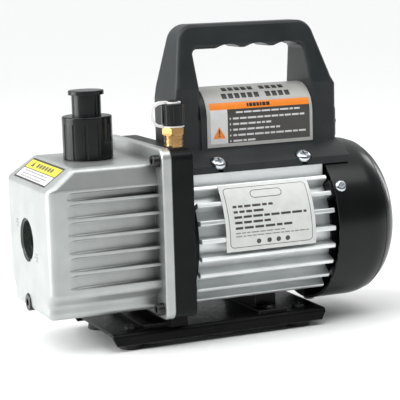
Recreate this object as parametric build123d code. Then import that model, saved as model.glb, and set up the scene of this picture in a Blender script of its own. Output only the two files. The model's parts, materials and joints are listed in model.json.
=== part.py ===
from build123d import *
import os
from math import cos, radians, sin, sqrt

# Rotary vane vacuum pump, millimetres, +Z up, X along the shaft.
# The oil tank is at -X and the fan at +X; the feet stand on z = 0.

# ---- driving dimensions -------------------------------------------------
AXIS_Z = 70.0            # height of the motor shaft
TANK_FRONT = -130.4      # front face of the oil tank
FLANGE_FRONT = -53.2     # front of the tank's bolting flange
FLANGE_BACK = -47.0      # back of the flange, where the gasket lies
PLATE_FRONT = -46.2      # front of the end plate
PLATE_BACK = -30.6       # back of the end plate
FIN_FRONT = -26.5        # front of the finned motor housing
FIN_BACK = 75.5          # back of the finned motor housing
COVER_RIM = 77.6         # open rim of the fan cover
COVER_END = 131.4        # closed rear end of the fan cover

FLANGE_HALF = 55.0       # half width of the tank flange
FLANGE_TOP = 136.6
FLANGE_BOTTOM = 20.6
TANK_HALF = 46.5         # half width of the tank at its ribs
TANK_TOP = 127.5
SKIRT_HALF = 39.5        # half width of the tank's lowest band
TANK_BOTTOM = 26.0
TANK_WALL = 4.5
CAVITY_HALF = 35.5       # inside of the tank
CAVITY_TOP = 122.5
SHOULDER_Z = 113.8       # where the tank's sloping shoulders start
SHOULDER_X = -111.4      # where the front shoulder meets the top
RIB_COUNT = 6
RIB_FIRST_Z = 46.5
RIB_PITCH = 11.75
RIB_THICK = 2.2
RECESS_DEPTH = 7.0       # depth of the side panels beside the flange
RECESS_START = 13.0      # distance of the side panels from the front
RECESS_STEP = 2.2        # depth that the panels reach over their first few millimetres
RECESS_RUN = 6.0
TANK_ROUND = 5.0         # rounding of the tank's outer edges
RIB_ROUND = 0.6
FLANGE_ROUND = 1.6
PLATE_ROUND = 1.0

BORE_R = 24.0            # pump chamber
ROTOR_R = 21.0
ECCENTRIC = 2.9          # rotor axis above the chamber axis
CHAMBER_LENGTH = 30.0
VANE_THICK = 4.0
VANE_DEPTH = 12.0
SPRING_R = 1.5           # vane springs, from inner to outer end along the slot
SPRING_INNER = 7.2
SPRING_OUTER = 14.8
SHAFT_R = 6.0
RUN_CLEARANCE = 0.04     # radial clearance of a running fit
SCREW_GAP = 0.05         # radial gap round a screw's shank
SEAL_FRONT = -38.6       # shaft seal and ball bearings
BEARING_R = 13.0
BEARING_WIDE = 7.0
BEARING_FRONT = -31.9
REAR_BEARING_FRONT = 72.0

HOUSING_ROOT_R = 47.5
HOUSING_BORE_R = 44.0
FIN_TIP_R = 56.0
FIN_THICK = 3.3
FIN_STEP = 13.0          # degrees between the fins
RAIL_HALF = 37.0         # half width of the rail on top of the housing
RAIL_TOP = 115.2
COVER_R = 58.0
COVER_WALL = 1.6
COVER_EDGE_R = 26.0      # rounding of the fan cover's rear edge

HANDLE_LEFT = -28.3
HANDLE_RIGHT = 96.5
HANDLE_TOP = 215.4
HANDLE_KINK_Z = 172.0    # above this the legs lean inwards
HANDLE_HALF = 20.0
PANEL_X = HANDLE_RIGHT - 2.0  # the inlet's and the switch's seat, sunk in the handle's rear end
GRIP_HALF = 12.0
GRIP_UNDER = 198.2       # underside of the grip, with finger grooves cut into it
GROOVE_R = 18.0
HANDLE_ROUND = 3.0
HANDLE_CORNER_R = 12.0
BARREL_R = 20.0          # rounding of the barrel between the legs
LIP_HALF = 38.0
LIP_CROWN_R = 63.0       # crown of the handle's foot, round the shaft axis

BASE_LEFT = -87.4
BASE_RIGHT = 73.5
BASE_HALF = 42.4
BASE_TOP = 12.5
BASE_LIP_BOTTOM = 4.2
SHEET = 2.0
BEND_R = 2.8

CAP_X = -85.3            # exhaust cap on top of the tank
CAP_R = 17.1
CAP_BODY_TOP = 157.0
CAP_NECK_TOP = 171.2
PLUG_R = 12.2
INTAKE_X = -38.4         # intake fitting on top of the end plate
INTAKE_Y = -40.0
FLARE_R = 5.55           # 7/16 inch thread of a 1/4 inch flare fitting
GLASS_Y = 4.0            # sight glass and drain plug on the tank's front
GLASS_Z = 74.8
GLASS_R = 15.0
GLASS_BACK = -119.4      # seat of the sight glass, deep in the tank's front wall
DRAIN_Y = 6.0
DRAIN_Z = 31.0

os.makedirs("parts", exist_ok=True)
CHAMBER_Z = AXIS_Z - ECCENTRIC


# ---- helpers --------------------------------------------------------------
def block(x0, x1, y0, y1, z0, z1):
    """A box between two corners."""
    middle = Pos((x0 + x1) / 2, (y0 + y1) / 2, (z0 + z1) / 2)
    return middle * Box(x1 - x0, y1 - y0, z1 - z0)


def rod_x(radius, x0, x1, y=0.0, z=AXIS_Z):
    return Pos((x0 + x1) / 2, y, z) * Rot(0, 90, 0) * Cylinder(radius, x1 - x0)


def rod_y(radius, y0, y1, x, z):
    return Pos(x, (y0 + y1) / 2, z) * Rot(90, 0, 0) * Cylinder(radius, y1 - y0)


def rod_z(radius, z0, z1, x, y):
    return Pos(x, y, (z0 + z1) / 2) * Cylinder(radius, z1 - z0)


def ring_x(outer, inner, x0, x1, y=0.0, z=AXIS_Z):
    return rod_x(outer, x0, x1, y, z) - rod_x(inner, x0 - 1, x1 + 1, y, z)


def ring_z(outer, inner, z0, z1, x, y):
    return rod_z(outer, z0, z1, x, y) - rod_z(inner, z0 - 1, z1 + 1, x, y)


def extrude_yz(points, x0, x1):
    """A closed outline of (y, z) points, carried from x0 to x1."""
    wire = Polyline([(x0, y, z) for y, z in points], close=True)
    return extrude(make_face(wire), amount=x1 - x0, dir=(1, 0, 0))


def extrude_xz(points, half):
    """A closed outline of (x, z) points, carried from -half to +half in Y."""
    wire = Polyline([(x, -half, z) for x, z in points], close=True)
    return extrude(make_face(wire), amount=2 * half, dir=(0, 1, 0))


def plate_outline(half, z0, z1, x0, x1, corner):
    """A flat plate across the shaft with four rounded corners."""
    plate = block(x0, x1, -half, half, z0, z1)
    return fillet(plate.edges().filter_by(Axis.X), corner)


def cap_screw(shank_r, head_r, head_h, length, key_r):
    """A hexagon socket screw along +Z, with its head above z = 0."""
    head = chamfer(rod_z(head_r, 0, head_h, 0, 0).edges().group_by(Axis.Z)[-1], 0.5)
    hexagon = extrude(RegularPolygon(key_r, 6), head_h * 0.55)
    return head + rod_z(shank_r, -length, 0, 0, 0) - Pos(0, 0, head_h * 0.45) * hexagon


def pan_screw(shank_r, head_r, head_h, length):
    """A cross-recess screw along +Z, with its domed head above z = 0."""
    head = rod_z(head_r, 0, head_h, 0, 0)
    head = fillet(head.edges().group_by(Axis.Z)[-1], head_h * 0.8)
    arm = head_r * 1.1
    cross = Box(arm, head_r * 0.24, head_h) + Box(head_r * 0.24, arm, head_h)
    return head + rod_z(shank_r, -length, 0, 0, 0) - Pos(0, 0, head_h * 0.95) * cross


def group(pieces):
    """Separate solids kept together as one node."""
    solids = [solid for piece in pieces for solid in piece.solids()]
    return solids[0] if len(solids) == 1 else Compound(children=solids)


def common(first, second):
    """The space that two shapes share."""
    return group([first.intersect(second)])


def save(name, shape):
    export_step(group([shape]), f"parts/{name}.step")


# ---- places of repeated pieces ---------------------------------------------
def around(radius, angles):
    """(y, z) places on a circle round the shaft."""
    return [(radius * cos(radians(a)), AXIS_Z + radius * sin(radians(a))) for a in angles]


TANK_SCREW_PLACES = [(y, z) for y in (-48.0, 48.0) for z in (28.0, 128.5)]
PUMP_SCREW_PLACES = [(y, CHAMBER_Z + dz) for y in (-25.0, 25.0) for dz in (-25.0, 25.0)]
MOTOR_BOLT_PLACES = around(41.0, (45, 135, 225, 315))
FIN_ANGLES = [41.0 - FIN_STEP * index for index in range(8)]
SPRING_PLACES = (PLATE_FRONT - 22.0, PLATE_FRONT - 8.0)
PLATE_SCREW_PLACES = (-30.0, 30.0)
MOTOR_FOOT_X = 34.0
HANDLE_SCREW_X = (-3.9, 61.2)
HANDLE_SCREW_TILT = 34.5  # degrees from upright, square to the crowned foot of the handle
HANDLE_SEAT_R = 61.8      # distance of the screw heads' seats from the shaft axis
HANDLE_SCREW_FRAMES = [
    Pos(x, 0, AXIS_Z) * Rot(-side * HANDLE_SCREW_TILT, 0, 0)
    for x in HANDLE_SCREW_X for side in (-1, 1)]
FOOT_PLACES = [(x, y) for x in (-71.0, 57.0) for y in (-31.0, 31.0)]
COVER_SCREW_X = 82.7
INLET_Z = 142.0
INLET_SCREWS = (-15.8, 15.8)
SWITCH_Z = 162.3
ROCKER_X = PANEL_X - 3.5
ROCKER_TILT = 12.0
COVER_SCREW_ANGLES = (31.0, 149.0, 270.0)
PLATE_LEFT = -8.7         # nameplate's ends along the shaft, and its span round it
PLATE_RIGHT = 59.3
PLATE_SPAN = (139.0, 155.0, 171.0, 187.0)


# ---- oil tank and what is fixed to it -------------------------------------
def tank_outline():
    """The tank's symmetric (y, z) section: skirt, side, sloping shoulder, top."""
    side = [(SKIRT_HALF, TANK_BOTTOM), (SKIRT_HALF, 36.0), (TANK_HALF, 42.5),
            (TANK_HALF, SHOULDER_Z), (TANK_HALF - 4.5, TANK_TOP)]
    return side + [(-y, z) for y, z in reversed(side)]


def front_shoulder(inset):
    """The wedge taken off the tank's upper front edge."""
    x0 = TANK_FRONT + inset - 5
    rise = (TANK_TOP - SHOULDER_Z) / (SHOULDER_X - TANK_FRONT)
    x1 = SHOULDER_X + inset + 12
    low = SHOULDER_Z - inset - 5 * rise
    high = low + (x1 - x0) * rise
    return extrude_xz([(x0, low), (x1, high), (x0, high)], TANK_HALF + 5)


def side_recess(low, high, side):
    """One panel between two ribs: a small step at the front, deep by the flange."""
    start = TANK_FRONT + RECESS_START
    edge = side * (TANK_HALF + 1)
    outline = [(start, edge), (start, side * TANK_HALF),
               (start + RECESS_RUN, side * (TANK_HALF - RECESS_STEP)),
               (FLANGE_FRONT, side * (TANK_HALF - RECESS_DEPTH)), (FLANGE_FRONT, edge)]
    wire = Polyline([(x, y, low) for x, y in outline], close=True)
    recess = extrude(make_face(wire), amount=high - low, dir=(0, 0, 1))
    deep = recess.edges().filter_by(
        lambda e: abs(e.center().Y) < TANK_HALF - 0.5
        and e.length > RECESS_RUN
        and e.center().X < FLANGE_FRONT - 1)
    return fillet(deep, 1.5)


def tank_shell():
    """The rounded outside of the tank with its ribbed sides."""
    raw = extrude_yz(tank_outline(), TANK_FRONT, FLANGE_FRONT + 1) - front_shoulder(0)
    outer = raw.edges().filter_by(lambda e: e.center().X < FLANGE_FRONT + 0.9)
    body = fillet(outer, TANK_ROUND)
    for index in range(RIB_COUNT):
        low = RIB_FIRST_Z + index * RIB_PITCH + RIB_THICK / 2
        high = min(low + RIB_PITCH - RIB_THICK, SHOULDER_Z - 2)
        for side in (-1, 1):
            body -= side_recess(low, high, side)
    ribs = body.edges().filter_by(
        lambda e: abs(abs(e.center().Y) - TANK_HALF) < 0.02
        and 40 < e.length < 70
        and e.center().X > -100)
    return fillet(ribs, RIB_ROUND)


def oil_tank():
    body = tank_shell()
    flange = plate_outline(FLANGE_HALF, FLANGE_BOTTOM, FLANGE_TOP, FLANGE_FRONT, FLANGE_BACK, 7.0)
    body += fillet(flange.edges().group_by(Axis.X)[0], FLANGE_ROUND)
    glass_boss = rod_x(GLASS_R + 4, TANK_FRONT + TANK_WALL - 1, GLASS_BACK + 2, GLASS_Y, GLASS_Z)
    drain_boss = rod_x(9.0, TANK_FRONT + TANK_WALL - 1, -116.4, DRAIN_Y, DRAIN_Z + 5)
    cavity_front = TANK_FRONT + TANK_WALL
    hollow = block(cavity_front, FLANGE_BACK + 1, -CAVITY_HALF, CAVITY_HALF, 31, CAVITY_TOP)
    hollow -= front_shoulder(TANK_WALL)
    hollow -= glass_boss
    hollow -= drain_boss
    body -= hollow
    body -= rod_x(GLASS_R, TANK_FRONT - 1, GLASS_BACK, GLASS_Y, GLASS_Z)
    body -= rod_x(GLASS_R - 3.5, GLASS_BACK - 1, GLASS_BACK + 3, GLASS_Y, GLASS_Z)
    body -= rod_x(6.3, TANK_FRONT - 1, TANK_FRONT + 3.2, DRAIN_Y, DRAIN_Z)
    body -= rod_x(4.0 + RUN_CLEARANCE, TANK_FRONT, -116, DRAIN_Y, DRAIN_Z)
    body -= rod_z(10.0 + RUN_CLEARANCE, 120, TANK_TOP + 1, CAP_X, 0)
    for y, z in TANK_SCREW_PLACES:
        body -= rod_x(2.5 + SCREW_GAP, FLANGE_FRONT - 1, FLANGE_BACK + 1, y, z)
    return body


def tank_gasket():
    outer = plate_outline(FLANGE_HALF - 0.6, FLANGE_BOTTOM + 0.6, FLANGE_TOP - 0.6,
                          FLANGE_BACK, PLATE_FRONT, 6.5)
    inner = block(FLANGE_BACK - 1, PLATE_FRONT + 1, -37, 37, 31, 122.5)
    gasket = outer - inner
    for y, z in TANK_SCREW_PLACES:
        gasket -= rod_x(2.8, FLANGE_BACK - 1, PLATE_FRONT + 1, y, z)
    return gasket


def sight_glass_seal():
    return ring_x(GLASS_R - 0.1, GLASS_R - 3.4, GLASS_BACK - 1.2, GLASS_BACK, GLASS_Y, GLASS_Z)


def sight_glass_lens():
    return rod_x(GLASS_R - 0.1, GLASS_BACK - 4.2, GLASS_BACK - 1.2, GLASS_Y, GLASS_Z)


def sight_glass_ring():
    """A threaded ring that holds the glass, with two slots for a pin spanner."""
    front = TANK_FRONT + 1.2
    ring = ring_x(GLASS_R - 0.05, GLASS_R - 1.7, front, GLASS_BACK - 4.2, GLASS_Y, GLASS_Z)
    slot = block(front - 1, front + 1, -1.2, 1.2, -GLASS_R, GLASS_R)
    return ring - Pos(0, GLASS_Y, GLASS_Z) * slot


def drain_plug():
    head = rod_x(6.0, TANK_FRONT - 1, TANK_FRONT + 2.2, DRAIN_Y, DRAIN_Z)
    head = fillet(head.edges().group_by(Axis.X)[0], 1.0)
    key = Rot(0, 90, 0) * extrude(RegularPolygon(2.9, 6), 3.0)
    shank = rod_x(4.0, TANK_FRONT + 2.2, -118, DRAIN_Y, DRAIN_Z)
    return head + shank - Pos(TANK_FRONT - 1.2, DRAIN_Y, DRAIN_Z) * key


def drain_seal():
    return ring_x(6.0, 4.05, TANK_FRONT + 2.2, TANK_FRONT + 3.2, DRAIN_Y, DRAIN_Z)


def tank_screws():
    screw = Rot(0, -90, 0) * cap_screw(2.5, 4.25, 5.0, 12.0, 2.3)
    return group([Pos(FLANGE_FRONT, y, z) * screw for y, z in TANK_SCREW_PLACES])


def tank_label():
    """A thin sticker lying on the front shoulder."""
    run = SHOULDER_X - TANK_FRONT
    rise = TANK_TOP - SHOULDER_Z
    slope = sqrt(run * run + rise * rise)
    plane = Plane(origin=((TANK_FRONT + SHOULDER_X) / 2, 0, (SHOULDER_Z + TANK_TOP) / 2),
                  x_dir=(0, -1, 0), z_dir=(-rise, 0, run))
    return plane * Pos(0, 0, 0.1) * Box(68, slope - 4.5, 0.2)


def exhaust_cap():
    body = rod_z(CAP_R, TANK_TOP + 0.8, CAP_BODY_TOP, CAP_X, 0)
    body = fillet(body.edges().group_by(Axis.Z)[-1], 1.2)
    body += rod_z(10.0, CAP_BODY_TOP - 1, CAP_NECK_TOP, CAP_X, 0)
    body += rod_z(10.0, 121.5, 129, CAP_X, 0)
    body -= rod_z(8.0, 120, CAP_NECK_TOP + 1, CAP_X, 0)
    for index in range(12):
        angle = radians(index * 30 + 8)
        x = CAP_X + (CAP_R + 0.3) * cos(angle)
        y = (CAP_R + 0.3) * sin(angle)
        body -= rod_z(1.0, TANK_TOP, 152, x, y)
    return body


def exhaust_cap_seal():
    return ring_z(15.5, 10.1, TANK_TOP, TANK_TOP + 0.8, CAP_X, 0)


def exhaust_plug():
    low = CAP_NECK_TOP + 0.1
    disc = rod_z(PLUG_R, low, low + 3.0, CAP_X, 0)
    disc = fillet(disc.edges().group_by(Axis.Z)[-1], 0.8)
    return disc + rod_z(8.0 - RUN_CLEARANCE, low - 9.6, low, CAP_X, 0)


def oil_mist_filter():
    return ring_z(13.0, 5.0, 104, 119, CAP_X, 0)


# ---- pump unit inside the tank -------------------------------------------
def end_plate():
    plate = plate_outline(FLANGE_HALF - 0.5, FLANGE_BOTTOM + 0.4, 135.2, PLATE_FRONT, PLATE_BACK, 6.5)
    rims = plate.edges().group_by(Axis.X)
    plate = fillet(rims[0] + rims[-1], PLATE_ROUND)
    boss = block(PLATE_BACK - 1, FIN_FRONT, -51, 51, 10, RAIL_TOP - 0.2)
    plate += common(rod_x(51.0, PLATE_BACK - 1, FIN_FRONT), boss)
    plate -= rod_x(38.0, PLATE_BACK, FIN_FRONT + 1)
    plate += rod_x(17.0, PLATE_BACK - 1, BEARING_FRONT + BEARING_WIDE)
    plate -= rod_x(SHAFT_R + 0.5, PLATE_FRONT - 1, BEARING_FRONT)
    plate -= rod_x(12.0, SEAL_FRONT, BEARING_FRONT)
    plate -= rod_x(BEARING_R, BEARING_FRONT, BEARING_FRONT + BEARING_WIDE + 1)
    for y, z in TANK_SCREW_PLACES:
        plate -= rod_x(2.5 + SCREW_GAP, PLATE_FRONT - 1, PLATE_FRONT + 13, y, z)
    for y, z in PUMP_SCREW_PLACES:
        plate -= rod_x(2.5 + SCREW_GAP, PLATE_FRONT - 1, PLATE_FRONT + 10.1, y, z)
    plate -= rod_z(6.0 + SCREW_GAP, 123, 137, INTAKE_X, INTAKE_Y)
    passage_low = CHAMBER_Z - 4
    plate -= rod_z(2.5, passage_low, 124, INTAKE_X, INTAKE_Y)
    for y in (-30.0, 30.0):
        plate -= rod_z(2.5 + SCREW_GAP, FLANGE_BOTTOM - 1, 33, INTAKE_X, y)
    for y, z in MOTOR_BOLT_PLACES:
        plate -= rod_x(2.0 + SCREW_GAP, -35.6, FIN_FRONT + 1, y, z)
    return plate


def pump_cylinder():
    back = PLATE_FRONT
    front = back - CHAMBER_LENGTH
    body = block(front, back, -31, 31, CHAMBER_Z - 31, CHAMBER_Z + 31)
    body = fillet(body.edges().filter_by(Axis.X), 6)
    body -= rod_x(BORE_R, front - 1, back + 1, 0, CHAMBER_Z)
    body -= rod_z(2.5, CHAMBER_Z + 20, CHAMBER_Z + 33, (front + back) / 2, 9)
    for x in (front + 5, back - 5):
        body -= rod_z(1.5 + SCREW_GAP, CHAMBER_Z + 25.5, CHAMBER_Z + 32, x, 9)
    for y, z in PUMP_SCREW_PLACES:
        body -= rod_x(2.5 + SCREW_GAP, front - 1, back + 1, y, z)
    return body


def pump_cover():
    back = PLATE_FRONT - CHAMBER_LENGTH
    cover = block(back - 8, back, -31, 31, CHAMBER_Z - 31, CHAMBER_Z + 31)
    cover = fillet(cover.edges().filter_by(Axis.X), 6)
    cover -= rod_x(SHAFT_R + RUN_CLEARANCE, back - 9, back + 1)
    for y, z in PUMP_SCREW_PLACES:
        cover -= rod_x(2.5 + SCREW_GAP, back - 9, back + 1, y, z)
    return cover


def pump_screws():
    screw = Rot(0, -90, 0) * cap_screw(2.5, 4.25, 5.0, 48.0, 2.3)
    start = PLATE_FRONT - CHAMBER_LENGTH - 8
    return group([Pos(start, y, z) * screw for y, z in PUMP_SCREW_PLACES])


def vane(side):
    """A vane drawn back into the rotor, so that its tip is just inside it."""
    tip = ROTOR_R - 0.1
    root = tip - VANE_DEPTH
    x0 = PLATE_FRONT - CHAMBER_LENGTH + 0.1
    x1 = PLATE_FRONT - 0.1
    y0, y1 = sorted((side * tip, side * root))
    blade = block(x0, x1, y0, y1, AXIS_Z - VANE_THICK / 2, AXIS_Z + VANE_THICK / 2)
    for x in SPRING_PLACES:
        y0, y1 = sorted((side * (root - 1), side * SPRING_OUTER))
        blade -= rod_y(SPRING_R + 0.2, y0, y1, x, AXIS_Z)
    return blade


def pump_rotor():
    x0 = PLATE_FRONT - CHAMBER_LENGTH + 0.05
    x1 = PLATE_FRONT - 0.05
    rotor = ring_x(ROTOR_R, SHAFT_R, x0, x1)
    slot_half = VANE_THICK / 2 + RUN_CLEARANCE
    for side in (-1, 1):
        y0, y1 = sorted((side * SPRING_INNER, side * (ROTOR_R + 1)))
        rotor -= block(x0 - 1, x1 + 1, y0, y1, AXIS_Z - slot_half, AXIS_Z + slot_half)
    return rotor - key_block()


def key_block():
    """The key between shaft and rotor, half in each."""
    middle = PLATE_FRONT - CHAMBER_LENGTH / 2
    top = AXIS_Z + SHAFT_R
    return block(middle - 8, middle + 8, -1.5, 1.5, top - 1.6, top + 1.6)


def vane_springs():
    """Two push springs behind each vane, drawn as short sleeves."""
    coils = []
    for x in SPRING_PLACES:
        for side in (-1, 1):
            y0, y1 = sorted((side * SPRING_INNER, side * SPRING_OUTER))
            coil = rod_y(SPRING_R, y0, y1, x, AXIS_Z)
            coils.append(coil - rod_y(SPRING_R - 0.6, y0 - 1, y1 + 1, x, AXIS_Z))
    return group(coils)


def shaft_seal():
    return ring_x(12.0, SHAFT_R + RUN_CLEARANCE, SEAL_FRONT, BEARING_FRONT - 0.1)


def exhaust_valve_plate():
    """A thin loose plate that covers the outlet and lifts against its stop."""
    front = PLATE_FRONT - CHAMBER_LENGTH
    z = CHAMBER_Z + 31
    return block(front + 8.8, PLATE_FRONT - 7.8, 5.2, 12.8, z, z + 0.3)


def valve_stop():
    """A bridge over the valve plate, on a post at each end."""
    front = PLATE_FRONT - CHAMBER_LENGTH
    z = CHAMBER_Z + 31
    stop = block(front + 1.5, PLATE_FRONT - 1.5, 5, 13, z + 2.3, z + 3.5)
    stop += block(front + 1.5, front + 8.5, 5, 13, z, z + 2.4)
    stop += block(PLATE_FRONT - 7.4, PLATE_FRONT - 1.5, 5, 13, z, z + 2.4)
    for x in (front + 5, PLATE_FRONT - 5):
        stop -= rod_z(1.6, z - 1, z + 5, x, 9)
    return stop


def valve_screws():
    front = PLATE_FRONT - CHAMBER_LENGTH
    z = CHAMBER_Z + 34.5
    screw = pan_screw(1.5, 2.8, 2.0, 8.5)
    return group([Pos(x, 9, z) * screw for x in (front + 5, PLATE_FRONT - 5)])


# ---- intake ---------------------------------------------------------------
def intake_seal():
    return ring_z(6.9, 6.1, 135.2, 136.2, INTAKE_X, INTAKE_Y)


def chamfered_blank(x, y):
    """A round blank with bevelled ends, from which the hexagon is cut."""
    blank = rod_z(8.2, 144.2, 149.4, x, y)
    return chamfer(blank.edges().filter_by(GeomType.CIRCLE), 0.7)


def intake_fitting():
    x, y = INTAKE_X, INTAKE_Y
    body = rod_z(6.0, 125, 136.2, x, y) + rod_z(6.5, 136.2, 144.2, x, y)
    for z in (138.4, 141.6):
        body -= ring_z(7.5, 6.1, z - 0.5, z + 0.5, x, y)
    hexagon = Pos(x, y, 144.2) * extrude(RegularPolygon(8.3, 6), 5.2)
    body += common(hexagon, chamfered_blank(x, y))
    body += rod_z(4.6, 149, 151.4, x, y) + rod_z(FLARE_R, 151.2, 160.2, x, y)
    body += Pos(x, y, 161.2) * Cone(FLARE_R, 3.6, 2.0)
    return body - rod_z(2.4, 124, 163, x, y)


def intake_screen():
    return rod_z(2.3, 130, 134, INTAKE_X, INTAKE_Y)


def intake_cap_seal():
    return rod_z(5.3, 162.3, 163.2, INTAKE_X, INTAKE_Y)


def intake_cap():
    x, y = INTAKE_X, INTAKE_Y
    cap = rod_z(7.8, 150.6, 165.0, x, y)
    cap = fillet(cap.edges().group_by(Axis.Z)[-1], 0.8)
    cap -= rod_z(FLARE_R + RUN_CLEARANCE, 150, 163.25, x, y)
    for index in range(16):
        angle = radians(index * 22.5)
        cap -= rod_z(0.5, 152.5, 163, x + 8.0 * cos(angle), y + 8.0 * sin(angle))
    cap += rod_z(2.4, 165.0, 166.6, x, y) + rod_z(3.6, 166.6, 167.3, x, y)
    return cap


def cap_strap():
    """A moulded tether: a ring on the cap, a flat loop and a ring on the neck."""
    x, y = INTAKE_X, INTAKE_Y
    low = ring_z(7.4, 5.75, 149.5, 150.5, x, y)
    high = ring_z(5.4, 2.6, 165.15, 166.35, x, y)
    far = x - 16.0
    path = FilletPolyline(
        (x - 4.0, y, 166.05), (far, y, 166.05), (far, y, 150.4), (x - 6.6, y, 150.4),
        radius=7.6)
    section = Plane(origin=(x - 4.0, y, 166.05), z_dir=(-1, 0, 0)) * Rectangle(1.8, 3.4)
    loop = sweep(section, path=path) - rod_z(8.1, 150.5, 165.0, x, y)
    return low + loop + high


# ---- motor ----------------------------------------------------------------
def motor_housing():
    body = rod_x(HOUSING_ROOT_R, FIN_FRONT, FIN_BACK)
    body += block(FIN_FRONT, FIN_BACK, -RAIL_HALF, RAIL_HALF, 96, RAIL_TOP)
    middle = (FIN_FRONT + FIN_BACK) / 2
    reach = (HOUSING_BORE_R + 1 + FIN_TIP_R) / 2
    depth = FIN_TIP_R - HOUSING_BORE_R - 1
    fin = Pos(reach, 0, 0) * Box(depth, FIN_THICK, FIN_BACK - FIN_FRONT)
    fin = fillet(fin.edges().filter_by(Axis.Z).group_by(Axis.X)[-1], 0.9)
    fin = Rot(0, 90, 0) * Rot(0, 0, 90) * fin
    for angle in FIN_ANGLES:
        for side in (0, 1):
            turn = Rot(angle, 0, 0) if side == 0 else Rot(180 - angle, 0, 0)
            body += Pos(middle, 0, AXIS_Z) * turn * fin
    body -= block(FIN_FRONT - 1, FIN_BACK + 1, -30, 30, RAIL_TOP, RAIL_TOP + 5)
    body -= rod_x(HOUSING_BORE_R, FIN_FRONT - 1, FIN_BACK + 1)
    for frame in HANDLE_SCREW_FRAMES:
        body -= frame * rod_z(2.5 + SCREW_GAP, HANDLE_SEAT_R - 15.1, HANDLE_SEAT_R, 0, 0)
    for y in (-14.0, 14.0):
        body -= rod_z(2.0 + SCREW_GAP, 20, 30, MOTOR_FOOT_X, y)
    return body


def motor_foot():
    """A saddle between the base plate and the underside of the housing."""
    foot = block(MOTOR_FOOT_X - 11, MOTOR_FOOT_X + 11, -38, 38, BASE_TOP, BASE_TOP + 2.5)
    foot += block(MOTOR_FOOT_X - 8, MOTOR_FOOT_X + 8, -26, 26, BASE_TOP, 29)
    foot -= rod_x(HOUSING_ROOT_R, MOTOR_FOOT_X - 12, MOTOR_FOOT_X + 12)
    for y in (-32.0, 32.0):
        foot -= rod_z(2.0 + SCREW_GAP, BASE_TOP - 1, 20, MOTOR_FOOT_X, y)
    for y in (-14.0, 14.0):
        foot -= rod_z(2.0 + SCREW_GAP, BASE_TOP - 1, 30, MOTOR_FOOT_X, y)
    return foot


def base_screws():
    """Screws that hold the motor foot and the end plate on the base plate."""
    down = pan_screw(2.0, 4.0, 2.6, 6.5)
    up = Rot(180, 0, 0) * pan_screw(2.0, 4.0, 2.6, 16.5)
    screws = [Pos(MOTOR_FOOT_X, y, BASE_TOP + 2.5) * down for y in (-32.0, 32.0)]
    screws += [Pos(MOTOR_FOOT_X, y, BASE_TOP - SHEET) * up for y in (-14.0, 14.0)]
    long_screw = Rot(180, 0, 0) * pan_screw(2.5, 4.8, 3.0, 21.5)
    screws += [Pos(INTAKE_X, y, BASE_TOP - SHEET) * long_screw for y in PLATE_SCREW_PLACES]
    return group(screws)


def stator_core():
    core = ring_x(HOUSING_BORE_R, 26.0, -5, 50)
    for y, z in MOTOR_BOLT_PLACES:
        core -= rod_x(3.2, -6, 51, y, z)
    for angle in range(0, 360, 15):
        y, z = around(29.0, (angle,))[0]
        core -= rod_x(2.6, -6, 51, y, z)
    return core


def stator_windings():
    """The end turns at both ends of the core, joined through its slots."""
    coil = ring_x(38.0, 27.5, -17, -5) + ring_x(38.0, 27.5, 50, 62)
    for angle in range(0, 360, 15):
        y, z = around(29.0, (angle,))[0]
        coil += rod_x(2.5, -6, 51, y, z)
    ends = coil.edges().filter_by(GeomType.CIRCLE).filter_by(lambda e: e.radius > 37)
    return fillet(ends, 3.0)


def rotor_core():
    core = ring_x(25.6, SHAFT_R, -5, 50)
    for x0, x1 in ((-10, -5), (50, 55)):
        core += ring_x(24.5, 17.0, x0, x1)
    return core


def motor_shaft():
    shaft = rod_x(SHAFT_R, -83.8, 110)
    shaft = chamfer(shaft.edges().filter_by(GeomType.CIRCLE), 0.6)
    return shaft - key_block()


def ball_bearing(front):
    """One closed bearing, with a groove between its rings on each face."""
    bearing = ring_x(BEARING_R, SHAFT_R + RUN_CLEARANCE, front, front + BEARING_WIDE)
    for x0 in (front - 0.4, front + BEARING_WIDE - 0.4):
        bearing -= ring_x(11.2, 8.2, x0, x0 + 0.8)
    return bearing


def rear_end_bell():
    """End shield with the rear bearing seat and lugs for the fan cover."""
    bell = rod_x(49.0, FIN_BACK, FIN_BACK + 5)
    bell += ring_x(HOUSING_BORE_R, 38.5, FIN_BACK - 4, FIN_BACK + 1)
    bell += rod_x(17.0, REAR_BEARING_FRONT - 1, FIN_BACK + 8)
    for angle in COVER_SCREW_ANGLES:
        lug = Pos(FIN_BACK + 9, 51.2, 0) * Box(18, 10.3, 12)
        bell += Pos(0, 0, AXIS_Z) * Rot(angle, 0, 0) * lug
    bell = common(bell, rod_x(COVER_R - COVER_WALL, FIN_BACK - 10, 95))
    bell -= rod_x(BEARING_R, REAR_BEARING_FRONT - 2, REAR_BEARING_FRONT + BEARING_WIDE)
    bell -= rod_x(SHAFT_R + 0.8, FIN_BACK, FIN_BACK + 9)
    for y, z in MOTOR_BOLT_PLACES:
        bell -= rod_x(2.0 + SCREW_GAP, FIN_BACK - 5, FIN_BACK + 6, y, z)
        bell -= rod_x(4.6, FIN_BACK + 5, FIN_BACK + 20, y, z)
    return bell - cover_screw_holes(46)


def cover_screw_holes(inner):
    holes = []
    for angle in COVER_SCREW_ANGLES:
        hole = Pos(0, (inner + 60) / 2, 0) * Rot(90, 0, 0) * Cylinder(2.0 + SCREW_GAP, 60 - inner)
        holes.append(Pos(COVER_SCREW_X, 0, AXIS_Z) * Rot(angle, 0, 0) * hole)
    return holes


def motor_bolts():
    bolt = Rot(0, 90, 0) * cap_screw(2.0, 3.5, 4.0, 116.0, 1.8)
    return group([Pos(FIN_BACK + 5, y, z) * bolt for y, z in MOTOR_BOLT_PLACES])


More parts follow.
